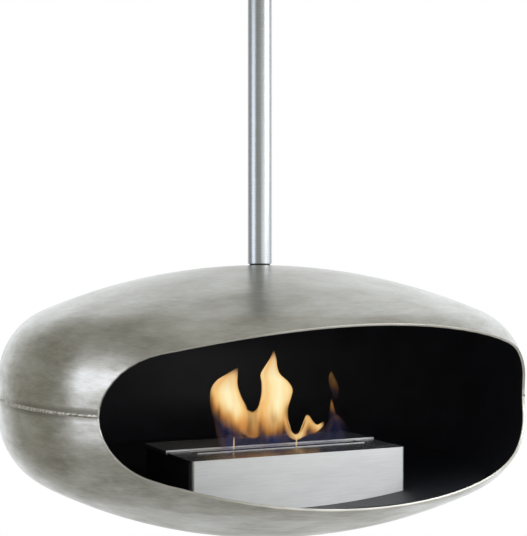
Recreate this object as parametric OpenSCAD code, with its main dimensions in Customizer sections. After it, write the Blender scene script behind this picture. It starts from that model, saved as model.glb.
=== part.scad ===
// Hanging fireplace: a dished steel pod on a ceiling tube that turns in a
// swivel, with a lift-out ethanol burner and its sliding lid.
// Millimetres. +Z is up, -Y is the side of the opening. The origin lies on
// the tube's axis in the ceiling, on the top face of the ceiling plate.

/* [Pod] */
// Outside diameter of the pod
pod_d = 900; // [700:10:1200]
// Height of the upper dished half, from the weld to its crown
upper_h = 221; // [190:1:280]
// Height of the lower dished half, from the weld to its crown
lower_h = 236; // [200:1:290]
// Knuckle radius between the straight edge and the crown of each half
knuckle_r = 124; // [80:1:140]
// Straight edge of each half, next to the weld
flange_h = 30; // [10:1:45]
// Sheet thickness of the pod
wall = 4; // [3:0.5:6]
// Depth of the groove that the weld fills, from the outside
weld_groove = 2.5; // [1:0.1:2.8]
// Height of the weld bead over the pod
weld_rise = 0.9; // [0.4:0.1:1.5]
// Half width of the flat that grinding leaves on the weld bead
weld_flat = 1; // [0.4:0.1:1.5]

/* [Opening] */
// Distance from the pod's side to the opening's end, in front view
opening_side = 75; // [60:1:140]
// Top of the opening, above the weld
opening_top = 131; // [115:1:150]
// Bottom of the opening, below the weld
opening_bottom = 134; // [118:1:150]
// Height of the opening's two end points, from the weld
opening_mid = -2; // [-10:1:10]
// Corner radius at the top of each end
top_corner_r = 96; // [60:1:105]
// Corner radius at the bottom of each end
bottom_corner_r = 90; // [60:1:105]

/* [Hearth plate] */
// Dish radius of the hearth plate's upper face
hearth_r = 1400; // [1200:10:2000]
// Level of the hearth plate's lower edge, below the weld
hearth_edge = 133.3; // [128:0.1:138]
// Gap between the hearth plate's lower edge and the pod
hearth_gap = 1.5; // [1:0.5:20]
// Thickness of the hearth plate
hearth_t = 3; // [2:0.5:4]
// Diameter of the posts under the hearth plate
post_d = 20; // [12:1:40]
// Spacing of the posts from side to side
post_span_x = 260; // [160:5:320]
// Spacing of the posts from front to back
post_span_y = 130; // [80:5:180]

/* [Hanging tube] */
// Outside diameter of the hanging tube
tube_d = 42.4; // [33.7:0.1:48.3]
// Wall of the hanging tube
tube_wall = 2; // [1.5:0.1:3]
// Drop from the ceiling to the crown of the pod
drop = 600; // [450:10:3000]
// Height of the shadow gap between the tube and the pod
gap_h = 2.6; // [1:0.1:6]
// How far the gap washer stands back from the tube's outside
gap_inset = 3.2; // [1:0.1:6]
// Length of the threaded plug in the tube's lower end
foot_plug_l = 45; // [30:1:80]
// Thread diameter of the hanger bolt
bolt_d = 16; // [12:1:18]
// Clearance hole of the hanger bolt
bolt_hole_d = 17; // [13:0.5:20]
// Diameter of the crown plate inside the pod
crown_plate_d = 180; // [120:5:260]
// Thickness of the crown plate
crown_plate_t = 5; // [4:0.5:10]

/* [Ceiling swivel] */
// Diameter of the ceiling plate
plate_d = 150; // [130:1:160]
// Thickness of the ceiling plate
plate_t = 8; // [6:0.5:12]
// Hole circle of the ceiling bolts
anchor_pcd = 120; // [105:1:130]
// Diameter of the ceiling bolt holes
anchor_hole_d = 9; // [6.5:0.5:12]
// Outside diameter of the swivel housing
housing_d = 78; // [74:1:90]
// Bore of the swivel housing
housing_bore_d = 56; // [54:1:58]
// Height of the swivel housing
housing_h = 42; // [38:1:60]
// Thickness of the swivel housing's floor
housing_floor = 12; // [8:1:16]
// Diameter of the housing screws
housing_screw_d = 6; // [4:0.5:8]
// Thickness of the flange of the swivel bush
bush_flange = 3; // [2:0.5:5]
// Outside diameter of the swivel bush's sleeve
bush_d = 50; // [49:0.5:52]
// Thickness of the thrust washer
thrust_t = 2; // [1:0.5:3]
// Thickness of the head of the tube's top plug
plug_head = 8; // [6:0.5:12]
// Length of the top plug inside the tube
plug_l = 50; // [40:1:80]
// Diameter of the cross bolt through tube and plug
cross_d = 8; // [6:0.5:10]

/* [Ceiling cover] */
// Outside diameter of the ceiling cover
cover_d = 170; // [165:1:240]
// Height of the ceiling cover
cover_h = 74; // [70:1:120]
// Sheet thickness of the ceiling cover
cover_t = 1.5; // [1:0.1:2.5]
// Radius of the ceiling cover's lower edge
cover_edge_r = 8; // [3:0.5:15]
// Shadow gap between the cover and the ceiling
cover_gap = 1.5; // [1:0.5:5]
// Height of the neck under the ceiling cover
neck_h = 12; // [10:1:20]
// Diameter of the neck under the ceiling cover
neck_d = 54; // [50:1:60]

/* [Burner] */
// Width of the burner
burner_w = 392; // [320:2:430]
// Front face of the burner, in front of the tube's axis
burner_front = 160; // [140:1:190]
// Back of the burner, behind the tube's axis
burner_back = 47; // [20:1:60]
// Top of the burner, below the weld
burner_drop = 88; // [80:1:100]
// Sheet thickness of the burner's front and top
burner_t = 2; // [1.5:0.1:3]
// Sheet thickness of the burner's housing and tank
skirt_t = 1.5; // [1:0.1:2]
// Depth of the front's folded sides
return_l = 10; // [8:1:20]
// Outside radius of the bends at the burner's front corners
bend_r = 6; // [4:0.5:8]
// Diameter of the studs that hold the front
stud_d = 4; // [3:0.5:5]
// Length of the studs behind the front's sheet
stud_l = 9; // [7:0.5:12]
// Distance from the burner's top down to the upper studs
stud_top = 17; // [12:1:22]
// Distance from the upper studs to the lower studs
stud_pitch = 30; // [20:1:34]
// Length of the flame slot
slot_l = 314; // [200:1:340]
// Front edge of the flame slot, in front of the tube's axis
slot_front = 91; // [80:1:110]
// Rear edge of the flame slot, in front of the tube's axis
slot_rear = 57; // [35:1:65]
// Height of the slot's front lip
lip_h = 1.6; // [1:0.1:6]
// Depth of the fuel tank
tank_h = 60; // [40:1:64]
// How far the tank reaches past the slot all round
tank_over = 12; // [6:1:20]
// Level of the wool under the top plate
wool_gap = 10; // [6:1:20]

/* [Lid] */
// Sheet thickness of the sliding lid
lid_t = 1.5; // [1:0.1:2]
// Depth of the sliding lid from front to back
lid_l = 102; // [70:1:102]
// Height of the lid's folded front edge
lid_fold = 3; // [2:0.1:10]
// Depth of the lid's folded sides
lid_side = 6; // [5:0.5:10]

/* [Fits] */
// Clearance between sheets that slide
slide_gap = 0.4; // [0.2:0.1:0.8]
// Clearance between pieces that are seated
seat_gap = 0.2; // [0.1:0.05:0.3]
// Radial running clearance of the tube in its bush
running_gap = 0.05; // [0.02:0.01:0.1]
// Radial clearance of pressed and threaded pieces
snug_gap = 0.05; // [0.02:0.01:0.1]
// Radial clearance of the cover round the tube
cover_fit = 0.5; // [0.3:0.1:1]

/* [Hidden] */

pod_r = pod_d / 2;
opening_w = pod_d - 2 * opening_side;
tube_r = tube_d / 2;
tube_bore_r = tube_r - tube_wall;
seam_z = -drop - upper_h;
facets = 144;
arc_facets = 240;
screw_facets = 32;
over = 12;

// Levels of the ceiling swivel, downwards from the ceiling
housing_bottom = -plate_t - housing_h;
floor_top = housing_bottom + housing_floor;
thrust_bottom = floor_top + bush_flange;
tube_top = thrust_bottom + thrust_t;
plug_head_r = housing_bore_d / 2 - 1;
housing_screw_pcd = (housing_d + housing_bore_d) / 2;
cross_z = housing_bottom - cross_d - 4;
cover_bottom = -cover_gap - cover_h;
tube_bottom = -drop + gap_h;

// Crown radius of a dished half of height h, to the nearest thousandth
function crown_r(h) =
  round(500 * (pow(pod_r - knuckle_r, 2) + pow(h - flange_h, 2) - pow(knuckle_r, 2))
    / (h - flange_h - knuckle_r)) / 1000;

// Angle from the axis at which the crown runs into the knuckle
function join_angle(h) = asin((pod_r - knuckle_r) / (crown_r(h) - knuckle_r));

// Half height and lift of the pod at height z from the weld
function half_h(z) = z >= 0 ? upper_h : lower_h;
function lift(z) = abs(z) - flange_h;
function on_knuckle(z) = lift(z) <= knuckle_r * cos(join_angle(half_h(z)));

// Outside radius of the pod at height z from the weld
function pod_radius(z) =
  lift(z) <= 0 ? pod_r
  : on_knuckle(z) ? pod_r - knuckle_r + sqrt(pow(knuckle_r, 2) - pow(lift(z), 2))
  : sqrt(pow(crown_r(half_h(z)), 2) - pow(abs(z) - half_h(z) + crown_r(half_h(z)), 2));

// Sine of the pod surface's slope at height z, upwards positive
function normal_z(z) =
  lift(z) <= 0 ? 0
  : sign(z) * (on_knuckle(z) ? lift(z) / knuckle_r
    : (abs(z) - half_h(z) + crown_r(half_h(z))) / crown_r(half_h(z)));

// Point of the opening's edge on the pod, moved out along the surface's normal
function edge_point(p, out) =
  let (r = pod_radius(p[1]), y = -sqrt(r * r - p[0] * p[0]),
       nz = normal_z(p[1]), nr = sqrt(1 - nz * nz) / r)
  [p[0] * (1 + out * nr), y * (1 + out * nr), p[1] + out * nz];

// Long arc that joins an end corner of radius rc to a top or bottom at height d
function edge_r(d, rc) =
  (pow(opening_w / 2 - rc, 2) + d * d - rc * rc) / (2 * (d - rc));

// Quarter of the opening's outline, from its top or bottom to its end
long_steps = 9;
corner_steps = 9;
function quarter(d, rc) =
  let (r = edge_r(d, rc), x = opening_w / 2 - rc, turn = atan2(x, r - d))
  concat(
    [for (i = [0 : long_steps - 1]) let (t = turn * i / long_steps)
      [r * sin(t), d - r + r * cos(t)]],
    [for (i = [0 : corner_steps]) let (t = turn + (90 - turn) * i / corner_steps)
      [x + rc * sin(t), rc * cos(t)]]);
upper_quarter = quarter(opening_top - opening_mid, top_corner_r);
lower_quarter = quarter(opening_bottom + opening_mid, bottom_corner_r);
last = long_steps + corner_steps;
outline = concat(
  [for (i = [0 : last]) [upper_quarter[i][0], opening_mid + upper_quarter[i][1]]],
  [for (i = [last - 1 : -1 : 0]) [lower_quarter[i][0], opening_mid - lower_quarter[i][1]]],
  [for (i = [1 : last]) [-lower_quarter[i][0], opening_mid - lower_quarter[i][1]]],
  [for (i = [last - 1 : -1 : 1]) [-upper_quarter[i][0], opening_mid + upper_quarter[i][1]]]);

// Loft through the sheet that cuts the opening square to the pod's surface
module opening_cutter() {
  n = len(outline);
  points = concat(
    [for (p = outline) edge_point(p, over)],
    [for (p = outline) edge_point(p, -wall - over)],
    [[0, -2 * pod_r, opening_mid], [0, -pod_r * 2 / 3, opening_mid]]);
  faces = concat(
    [for (i = [0 : n - 1]) [2 * n, i, (i + 1) % n]],
    [for (i = [0 : n - 1]) [i, n + i, n + (i + 1) % n]],
    [for (i = [0 : n - 1]) [i, n + (i + 1) % n, (i + 1) % n]],
    [for (i = [0 : n - 1]) [2 * n + 1, n + (i + 1) % n, n + i]]);
  polyhedron(points, faces);
}

module ring(r_out, r_in, h) {
  difference() {
    cylinder(r = r_out, h = h, $fn = facets);
    translate([0, 0, -1]) cylinder(r = r_in, h = h + 2, $fn = facets);
  }
}

// Part of the plane over the crown of a half of height h
module over_crown(h) {
  r = crown_r(h);
  polygon([[0, h - r], [0, h + r], [2 * r * tan(join_angle(h)), h + r]]);
}

// Half section of a dished half's sheet, weld edge at the bottom
module dish_section(h) {
  r = crown_r(h);
  intersection() {
    translate([0, h - r]) difference() {
      circle(r = r, $fn = arc_facets * 4);
      circle(r = r - wall, $fn = arc_facets * 4);
    }
    over_crown(h);
  }
  difference() {
    translate([pod_r - knuckle_r, flange_h]) intersection() {
      difference() {
        circle(r = knuckle_r, $fn = arc_facets);
        circle(r = knuckle_r - wall, $fn = arc_facets);
      }
      square(2 * knuckle_r);
    }
    over_crown(h);
  }
  difference() {
    translate([pod_r - wall, 0]) square([wall, flange_h]);
    polygon([[pod_r - weld_groove, 0], [pod_r + 1, 0], [pod_r + 1, weld_groove + 1]]);
  }
}

module dished_half(h) {
  rotate_extrude($fn = facets) dish_section(h);
}

module upper_shell() {
  color([0.56, 0.55, 0.52]) translate([0, 0, seam_z]) difference() {
    dished_half(upper_h);
    opening_cutter();
    translate([0, 0, upper_h - 2 * wall]) cylinder(d = bolt_hole_d, h = 3 * wall, $fn = facets);
  }
}

module lower_shell() {
  color([0.53, 0.52, 0.49]) translate([0, 0, seam_z]) difference() {
    mirror([0, 0, 1]) dished_half(lower_h);
    opening_cutter();
  }
}

// Weld bead: fills the groove of both halves and stands a little proud
module seam_weld() {
  top_r = pod_r + weld_rise;
  color([0.66, 0.65, 0.62]) translate([0, 0, seam_z]) difference() {
    rotate_extrude($fn = facets)
      polygon([[pod_r - weld_groove, 0], [pod_r, weld_groove], [top_r, weld_flat],
               [top_r, -weld_flat], [pod_r, -weld_groove]]);
    opening_cutter();
  }
}

// Stiffening plate, dished to lie inside the crown
module crown_plate() {
  r = crown_r(upper_h) - wall - seat_gap;
  color([0.3, 0.3, 0.31]) translate([0, 0, seam_z]) difference() {
    translate([0, 0, upper_h - wall - seat_gap - r]) rotate_extrude($fn = facets) {
      intersection() {
        difference() {
          circle(r = r, $fn = arc_facets * 4);
          circle(r = r - crown_plate_t, $fn = arc_facets * 4);
        }
        translate([0, r / 2]) square([crown_plate_d / 2, r]);
      }
    }
    translate([0, 0, upper_h / 2]) cylinder(d = bolt_hole_d, h = upper_h, $fn = facets);
  }
}

// Washer between tube and pod that leaves the shadow gap
module gap_washer() {
  color([0.1, 0.1, 0.1]) translate([0, 0, -drop])
    ring(tube_r - gap_inset, bolt_hole_d / 2, gap_h);
}

module tube_foot_plug() {
  color([0.55, 0.56, 0.57]) translate([0, 0, tube_bottom])
    ring(tube_bore_r - snug_gap, bolt_d / 2 + snug_gap, foot_plug_l);
}

// Level of the washer that bears on the underside of the crown plate
washer_d = 2.5 * bolt_d;
washer_t = bolt_d / 4;
bearing_r = crown_r(upper_h) - wall - seat_gap - crown_plate_t;
washer_top = seam_z + upper_h - crown_r(upper_h)
  + sqrt(pow(bearing_r, 2) - pow(washer_d / 2, 2)) - snug_gap;

module hanger_washer() {
  color([0.7, 0.7, 0.68]) translate([0, 0, washer_top - washer_t])
    ring(washer_d / 2, bolt_hole_d / 2, washer_t);
}

// Hexagon bolt with its head down, at the origin of its bearing face
module hex_bolt(d, l) {
  cylinder(d = d, h = l, $fn = screw_facets * 2);
  translate([0, 0, -0.65 * d]) cylinder(d = 1.73 * d, h = 0.65 * d, $fn = 6);
}

module hanger_bolt() {
  length = tube_bottom + foot_plug_l * 0.8 - washer_top + washer_t;
  color([0.7, 0.7, 0.68]) translate([0, 0, washer_top - washer_t]) hex_bolt(bolt_d, length);
}

module hanging_tube() {
  color([0.62, 0.64, 0.65]) difference() {
    translate([0, 0, tube_bottom]) ring(tube_r, tube_bore_r, tube_top - tube_bottom);
    translate([0, 0, cross_z]) rotate([0, 90, 0])
      cylinder(d = cross_d + 2 * snug_gap, h = 2 * tube_d, center = true, $fn = screw_facets * 2);
  }
}

module tube_top_plug() {
  color([0.5, 0.5, 0.5]) difference() {
    union() {
      translate([0, 0, tube_top]) cylinder(r = plug_head_r, h = plug_head, $fn = facets);
      translate([0, 0, tube_top - plug_l])
        cylinder(r = tube_bore_r - snug_gap, h = plug_l + 1, $fn = facets);
    }
    translate([0, 0, cross_z]) rotate([0, 90, 0])
      cylinder(d = cross_d + 2 * snug_gap, h = 2 * tube_d, center = true, $fn = screw_facets * 2);
  }
}

cross_head_x = tube_r + snug_gap;
cross_nut_t = 0.8 * cross_d;

module cross_bolt() {
  color([0.75, 0.75, 0.72]) translate([-cross_head_x, 0, cross_z]) rotate([0, 90, 0])
    hex_bolt(cross_d, 2 * cross_head_x + cross_nut_t + 1);
}

module cross_bolt_nut() {
  color([0.75, 0.75, 0.72]) translate([cross_head_x, 0, cross_z]) rotate([0, 90, 0]) difference() {
    cylinder(d = 1.8 * cross_d, h = cross_nut_t, $fn = 6);
    translate([0, 0, -1])
      cylinder(d = cross_d + 2 * snug_gap, h = cross_nut_t + 2, $fn = screw_facets * 2);
  }
}

module at_housing_screws() {
  for (a = [45 : 90 : 315]) rotate([0, 0, a]) translate([housing_screw_pcd / 2, 0, 0]) children();
}

screw_head_h = 0.5 * housing_screw_d;

module ceiling_plate() {
  color([0.45, 0.45, 0.46]) difference() {
    translate([0, 0, -plate_t]) cylinder(d = plate_d, h = plate_t, $fn = facets);
    for (a = [0 : 90 : 270]) rotate([0, 0, a]) translate([anchor_pcd / 2, 0, -plate_t - 1])
      cylinder(d = anchor_hole_d, h = plate_t + 2, $fn = screw_facets * 2);
    at_housing_screws() {
      translate([0, 0, -plate_t - 1])
        cylinder(d = housing_screw_d + 2 * slide_gap, h = plate_t + 2, $fn = screw_facets * 2);
      translate([0, 0, -screw_head_h - seat_gap])
        cylinder(d1 = housing_screw_d + 2 * slide_gap, d2 = 2 * housing_screw_d + 2 * slide_gap,
                 h = screw_head_h + seat_gap, $fn = screw_facets * 2);
    }
  }
}

housing_screw_l = plate_t + 16;

module housing_screws() {
  color([0.75, 0.75, 0.72]) at_housing_screws() {
    translate([0, 0, -housing_screw_l])
      cylinder(d = housing_screw_d, h = housing_screw_l, $fn = screw_facets * 2);
    translate([0, 0, -screw_head_h])
      cylinder(d1 = housing_screw_d, d2 = 2 * housing_screw_d, h = screw_head_h - seat_gap,
               $fn = screw_facets * 2);
  }
}

lock_d = 6;
lock_z = tube_top + plug_head / 2;
lock_tip = plug_head_r + slide_gap;

module swivel_housing() {
  color([0.48, 0.48, 0.49]) difference() {
    translate([0, 0, housing_bottom]) cylinder(d = housing_d, h = housing_h, $fn = facets);
    translate([0, 0, floor_top]) cylinder(d = housing_bore_d, h = housing_h, $fn = facets);
    translate([0, 0, housing_bottom - 1]) cylinder(d = bush_d, h = housing_h, $fn = facets);
    at_housing_screws() translate([0, 0, -housing_screw_l - 1])
      cylinder(d = housing_screw_d + 2 * snug_gap, h = housing_screw_l + 2, $fn = screw_facets * 2);
    translate([0, 0, lock_z]) rotate([0, 90, 0])
      cylinder(d = lock_d + 2 * snug_gap, h = housing_d, $fn = screw_facets * 2);
  }
}

module swivel_bush() {
  color([0.72, 0.53, 0.28]) difference() {
    union() {
      translate([0, 0, housing_bottom])
        cylinder(d = bush_d - 2 * snug_gap, h = housing_floor + bush_flange, $fn = facets);
      translate([0, 0, floor_top])
        cylinder(d = housing_bore_d - 2 * slide_gap, h = bush_flange, $fn = facets);
    }
    translate([0, 0, housing_bottom - 1])
      cylinder(r = tube_r + running_gap, h = housing_h, $fn = facets);
  }
}

module thrust_washer() {
  color([0.85, 0.83, 0.78]) translate([0, 0, thrust_bottom])
    ring(housing_bore_d / 2 - slide_gap, tube_r + slide_gap, thrust_t);
}

// Socket set screw along X, outer end at x, tip at tip_x
module set_screw(d, tip_x, x) {
  rotate([0, 90, 0]) translate([0, 0, tip_x]) difference() {
    cylinder(d = d, h = x - tip_x, $fn = screw_facets * 2);
    translate([0, 0, (x - tip_x) / 2]) cylinder(d = 0.55 * d, h = x - tip_x, $fn = 6);
  }
}

module lock_screw() {
  color([0.25, 0.25, 0.26]) translate([0, 0, lock_z]) set_screw(lock_d, lock_tip, housing_d / 2);
}

grub_d = 5;

// Spun cover with a rounded lower edge and a neck that grips the tube
module ceiling_cover() {
  inner_r = tube_r + cover_fit;
  color([0.6, 0.61, 0.62]) translate([0, 0, cover_bottom]) difference() {
    rotate_extrude($fn = facets) {
      translate([cover_d / 2 - cover_t, cover_edge_r]) square([cover_t, cover_h - cover_edge_r]);
      translate([cover_d / 2 - cover_edge_r, cover_edge_r]) intersection() {
        difference() {
          circle(r = cover_edge_r, $fn = 96);
          circle(r = cover_edge_r - cover_t, $fn = 96);
        }
        translate([0, -cover_edge_r]) square([cover_edge_r, cover_edge_r]);
      }
      translate([inner_r, 0]) square([cover_d / 2 - cover_edge_r - inner_r, cover_t]);
      translate([inner_r, -neck_h]) square([neck_d / 2 - inner_r, neck_h]);
    }
    translate([0, 0, -neck_h / 2]) rotate([0, 90, 0])
      cylinder(d = grub_d + 2 * snug_gap, h = neck_d, $fn = screw_facets * 2);
  }
}

module cover_grub_screw() {
  color([0.25, 0.25, 0.26]) translate([0, 0, cover_bottom - neck_h / 2])
    set_screw(grub_d, tube_r + snug_gap, neck_d / 2);
}

// Radius of the hearth plate, from the pod's inside at the level of its lower edge,
// and the lowest point of its upper face below the weld
hearth_edge_r = pod_r - knuckle_r
  + sqrt(pow(knuckle_r - wall, 2) - pow(hearth_edge - flange_h, 2)) - hearth_gap;
hearth_drop = hearth_edge + hearth_r - sqrt(pow(hearth_r + hearth_t, 2) - pow(hearth_edge_r, 2));

// Ball that the upper face of the hearth plate is part of, made smaller by gap
module hearth_ball(gap) {
  translate([0, 0, hearth_r - hearth_drop]) sphere(r = hearth_r - gap, $fn = facets * 5);
}

// Dished plate in the bottom of the pod, which carries the burner
module hearth_plate() {
  color([0.08, 0.08, 0.085]) translate([0, 0, seam_z + hearth_r - hearth_drop])
    rotate_extrude($fn = facets) intersection() {
      difference() {
        circle(r = hearth_r + hearth_t, $fn = arc_facets * 5);
        circle(r = hearth_r, $fn = arc_facets * 5);
      }
      translate([0, -hearth_r * 3 / 2]) square([hearth_edge_r, hearth_r]);
    }
}

// Four posts that stand on the lower half and carry the hearth plate
module hearth_posts() {
  r = crown_r(lower_h) - wall;
  mid_y = (burner_back - burner_front) / 2;
  color([0.2, 0.2, 0.2]) translate([0, 0, seam_z]) for (x = [-1, 1], y = [-1, 1]) difference() {
    intersection() {
      translate([x * post_span_x / 2, mid_y + y * post_span_y / 2, -lower_h])
        cylinder(d = post_d, h = lower_h - hearth_drop + 4 * hearth_t, $fn = facets);
      translate([0, 0, r + wall - lower_h]) sphere(r = r, $fn = facets * 4);
    }
    hearth_ball(-hearth_t - seat_gap);
  }
}

// Plan of a folded box of width w from front to back, its front corners bent to radius r
module bent_plan(w, front, back, r) {
  translate([-w / 2, front + r]) square([w, back - front - r]);
  translate([-w / 2 + r, front]) square([w - 2 * r, back - front]);
  for (x = [-1, 1]) translate([x * (w / 2 - r), front + r]) circle(r = r, $fn = facets);
}

// The same plan as a block between two depths below the weld
module bent_block(w, front, back, r, top, bottom) {
  translate([0, 0, -bottom]) linear_extrude(height = bottom - top) bent_plan(w, front, back, r);
}

skirt_w = burner_w - 2 * burner_t - 2 * seat_gap;
skirt_front = -burner_front + burner_t + seat_gap;
skirt_r = bend_r - burner_t - seat_gap;
flange_w = return_l + 2 * stud_d;
stud_x = skirt_w / 2 - flange_w / 2;
stud_heights = [burner_drop + stud_top, burner_drop + stud_top + stud_pitch];

module at_studs() {
  for (x = [-stud_x, stud_x], z = stud_heights) translate([x, -burner_front + burner_t, -z])
    rotate([-90, 0, 0]) children();
}

// Sides, back and front flanges of the burner, bent from one sheet
module burner_housing() {
  color([0.07, 0.07, 0.075]) translate([0, 0, seam_z]) difference() {
    intersection() {
      bent_block(skirt_w, skirt_front, burner_back, skirt_r, burner_drop + burner_t, lower_h);
      hearth_ball(seat_gap);
    }
    bent_block(skirt_w - 2 * skirt_t, skirt_front + skirt_t, burner_back - skirt_t,
      skirt_r - skirt_t, 0, lower_h);
    translate([-skirt_w / 2 + flange_w, skirt_front - 1, -lower_h])
      cube([skirt_w - 2 * flange_w, skirt_t + 2, lower_h]);
    at_studs() cylinder(d = stud_d + 2 * seat_gap, h = stud_l, $fn = screw_facets);
  }
}

// Brushed front with folded sides, cut to the hearth's curve, on four studs
module burner_front_panel() {
  color([0.8, 0.8, 0.79]) translate([0, 0, seam_z]) {
    difference() {
      intersection() {
        bent_block(burner_w, -burner_front, return_l - burner_front, bend_r, burner_drop, lower_h);
        hearth_ball(seat_gap);
      }
      bent_block(burner_w - 2 * burner_t, -burner_front + burner_t, 0, bend_r - burner_t, 0, lower_h);
      translate([-burner_w, -burner_front + burner_t, -burner_drop - burner_t - seat_gap])
        cube([2 * burner_w, burner_front, burner_t + 1]);
    }
    at_studs() translate([0, 0, -burner_t / 2])
      cylinder(d = stud_d, h = stud_l + burner_t / 2, $fn = screw_facets);
  }
}

module front_panel_nuts() {
  nut_t = 0.8 * stud_d;
  color([0.7, 0.7, 0.68]) translate([0, 0, seam_z]) at_studs()
    translate([0, 0, seat_gap + skirt_t + snug_gap]) difference() {
      cylinder(d = 2 * stud_d, h = nut_t, $fn = 6);
      translate([0, 0, -1]) cylinder(d = stud_d + 2 * snug_gap, h = nut_t + 2, $fn = screw_facets);
    }
}

// Top plate with the flame slot, the slot's lip and the stop behind the lid
module burner_top_plate() {
  plate_front = -burner_front + burner_t;
  color([0.55, 0.54, 0.52]) translate([0, 0, seam_z - burner_drop - burner_t]) {
    difference() {
      linear_extrude(height = burner_t) intersection() {
        bent_plan(burner_w, -burner_front, burner_back, bend_r);
        translate([-burner_w, plate_front]) square([2 * burner_w, burner_back - plate_front]);
      }
      translate([-slot_l / 2, -slot_front, -1]) cube([slot_l, slot_front - slot_rear, burner_t + 2]);
    }
    translate([-slot_l / 2, -slot_front - skirt_t, burner_t / 2])
      cube([slot_l, skirt_t, burner_t / 2 + lip_h]);
    translate([-burner_w / 2, burner_back - skirt_t, burner_t / 2])
      cube([burner_w, skirt_t, burner_t / 2 + slide_gap + lid_t]);
  }
}

tank_w = slot_l + 2 * tank_over;
tank_front = -slot_front - tank_over;
tank_depth = slot_front - slot_rear + 2 * tank_over;
tank_top = -burner_drop - burner_t;

// Welded fuel tank under the slot
module fuel_tank() {
  color([0.5, 0.5, 0.5]) translate([0, 0, seam_z]) difference() {
    translate([-tank_w / 2, tank_front, tank_top - tank_h]) cube([tank_w, tank_depth, tank_h]);
    translate([-tank_w / 2 + skirt_t, tank_front + skirt_t, tank_top - tank_h + skirt_t])
      cube([tank_w - 2 * skirt_t, tank_depth - 2 * skirt_t, tank_h]);
  }
}

// Wool that soaks up the fuel, laid in the tank
module ceramic_wool() {
  gap = skirt_t + slide_gap;
  color([0.9, 0.89, 0.85]) translate([0, 0, seam_z])
    translate([-tank_w / 2 + gap, tank_front + gap, tank_top - tank_h + skirt_t + seat_gap])
      cube([tank_w - 2 * gap, tank_depth - 2 * gap, tank_h - skirt_t - wool_gap]);
}

// Lid that slides over the slot, folded down and under the plate's side edges
module burner_lid() {
  inner = burner_w / 2 + slide_gap;
  outer = inner + lid_t;
  under = burner_t + 2 * slide_gap;
  hook = burner_t - slide_gap;
  color([0.78, 0.77, 0.75]) translate([0, -slot_rear, seam_z - burner_drop]) {
    translate([-outer, 0, slide_gap]) cube([2 * outer, lid_l, lid_t]);
    translate([-outer, 0, slide_gap]) cube([2 * outer, lid_t, lid_fold]);
    for (side = [0, 1]) mirror([side, 0, 0]) {
      translate([inner, 0, slide_gap + lid_t - lid_side]) cube([lid_t, lid_l, lid_side]);
      translate([outer - lid_t - hook, 0, slide_gap - under - lid_t])
        cube([hook + lid_t, lid_l, lid_t]);
    }
  }
}

ceiling_plate();
swivel_housing();
housing_screws();
swivel_bush();
thrust_washer();
lock_screw();
tube_top_plug();
cross_bolt();
cross_bolt_nut();
ceiling_cover();
cover_grub_screw();
hanging_tube();
tube_foot_plug();
gap_washer();
upper_shell();
lower_shell();
seam_weld();
crown_plate();
hanger_bolt();
hanger_washer();
hearth_plate();
hearth_posts();
burner_housing();
burner_front_panel();
front_panel_nuts();
burner_top_plate();
fuel_tank();
ceramic_wool();
burner_lid();
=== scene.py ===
# %% [markdown]
# # A hanging fireplace of dished steel
# The object is a round steel pod that hangs from the ceiling on one tube. Two dished
# halves are welded together, a wide oval opening is cut into the front, and inside an
# ethanol burner burns under a sliding lid. The measured solids come from a CAD model.
# This script loads them as a fixed frame and gives every piece its finish, and where a
# piece needs finer forms than the solid has, it builds that piece again with bmesh.

# %% Load the frame
import math

import bmesh
import bpy
from mathutils import Matrix, Vector, noise


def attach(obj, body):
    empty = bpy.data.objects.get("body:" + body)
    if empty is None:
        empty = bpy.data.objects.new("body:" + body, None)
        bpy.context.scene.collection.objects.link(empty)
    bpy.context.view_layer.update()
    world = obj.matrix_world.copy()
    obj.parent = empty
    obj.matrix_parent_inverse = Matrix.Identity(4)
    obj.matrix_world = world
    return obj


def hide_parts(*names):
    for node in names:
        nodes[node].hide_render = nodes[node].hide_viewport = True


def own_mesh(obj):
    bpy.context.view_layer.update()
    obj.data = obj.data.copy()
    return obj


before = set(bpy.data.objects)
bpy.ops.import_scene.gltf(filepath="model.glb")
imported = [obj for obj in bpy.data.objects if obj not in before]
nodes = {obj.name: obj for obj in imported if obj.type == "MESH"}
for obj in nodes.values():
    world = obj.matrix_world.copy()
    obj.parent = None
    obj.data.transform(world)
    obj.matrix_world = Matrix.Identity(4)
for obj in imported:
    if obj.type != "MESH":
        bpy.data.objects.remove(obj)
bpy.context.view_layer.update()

# %% [markdown]
# ## Sizes that several steps share
# All places are in metres from the tube's axis at the ceiling. The weld between the two
# halves is the pod's own zero height. The radii of the dished halves repeat the values
# of the CAD source, because the finish of the sheet follows its curves.

# %% The pod's curves
MM = 0.001
SEAM_Z = -821 * MM
POD_R = 450 * MM
KNUCKLE_R = 124 * MM
FLANGE_H = 30 * MM
WALL = 4 * MM
UPPER_H = 221 * MM
LOWER_H = 236 * MM


def crown_radius(height):
    """The large radius of a dished half, from its height."""
    flat = POD_R - KNUCKLE_R
    rise = height - FLANGE_H
    return (flat**2 + rise**2 - KNUCKLE_R**2) / (2 * (rise - KNUCKLE_R))


def sheet_side(point):
    """Distance from the pod's outer surface (0) inwards and the outward normal there."""
    x, y, z = point[0], point[1], point[2] - SEAM_Z
    height = UPPER_H if z > 0 else LOWER_H
    up = 1 if z > 0 else -1
    rho, lift = math.hypot(x, y), abs(z) - FLANGE_H
    if lift <= 0:
        return POD_R - rho, Vector((x, y, 0)).normalized()
    crown = crown_radius(height)
    centre = height - crown - FLANGE_H
    flat = POD_R - KNUCKLE_R
    if rho * -centre < flat * (lift - centre):
        out = Vector((rho, lift - centre))
        depth = crown - out.length
    else:
        out = Vector((rho - flat, lift))
        depth = KNUCKLE_R - out.length
    out.normalize()
    turn = out.x / max(rho, 1e-9)
    return depth, Vector((x * turn, y * turn, up * out.y))


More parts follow.
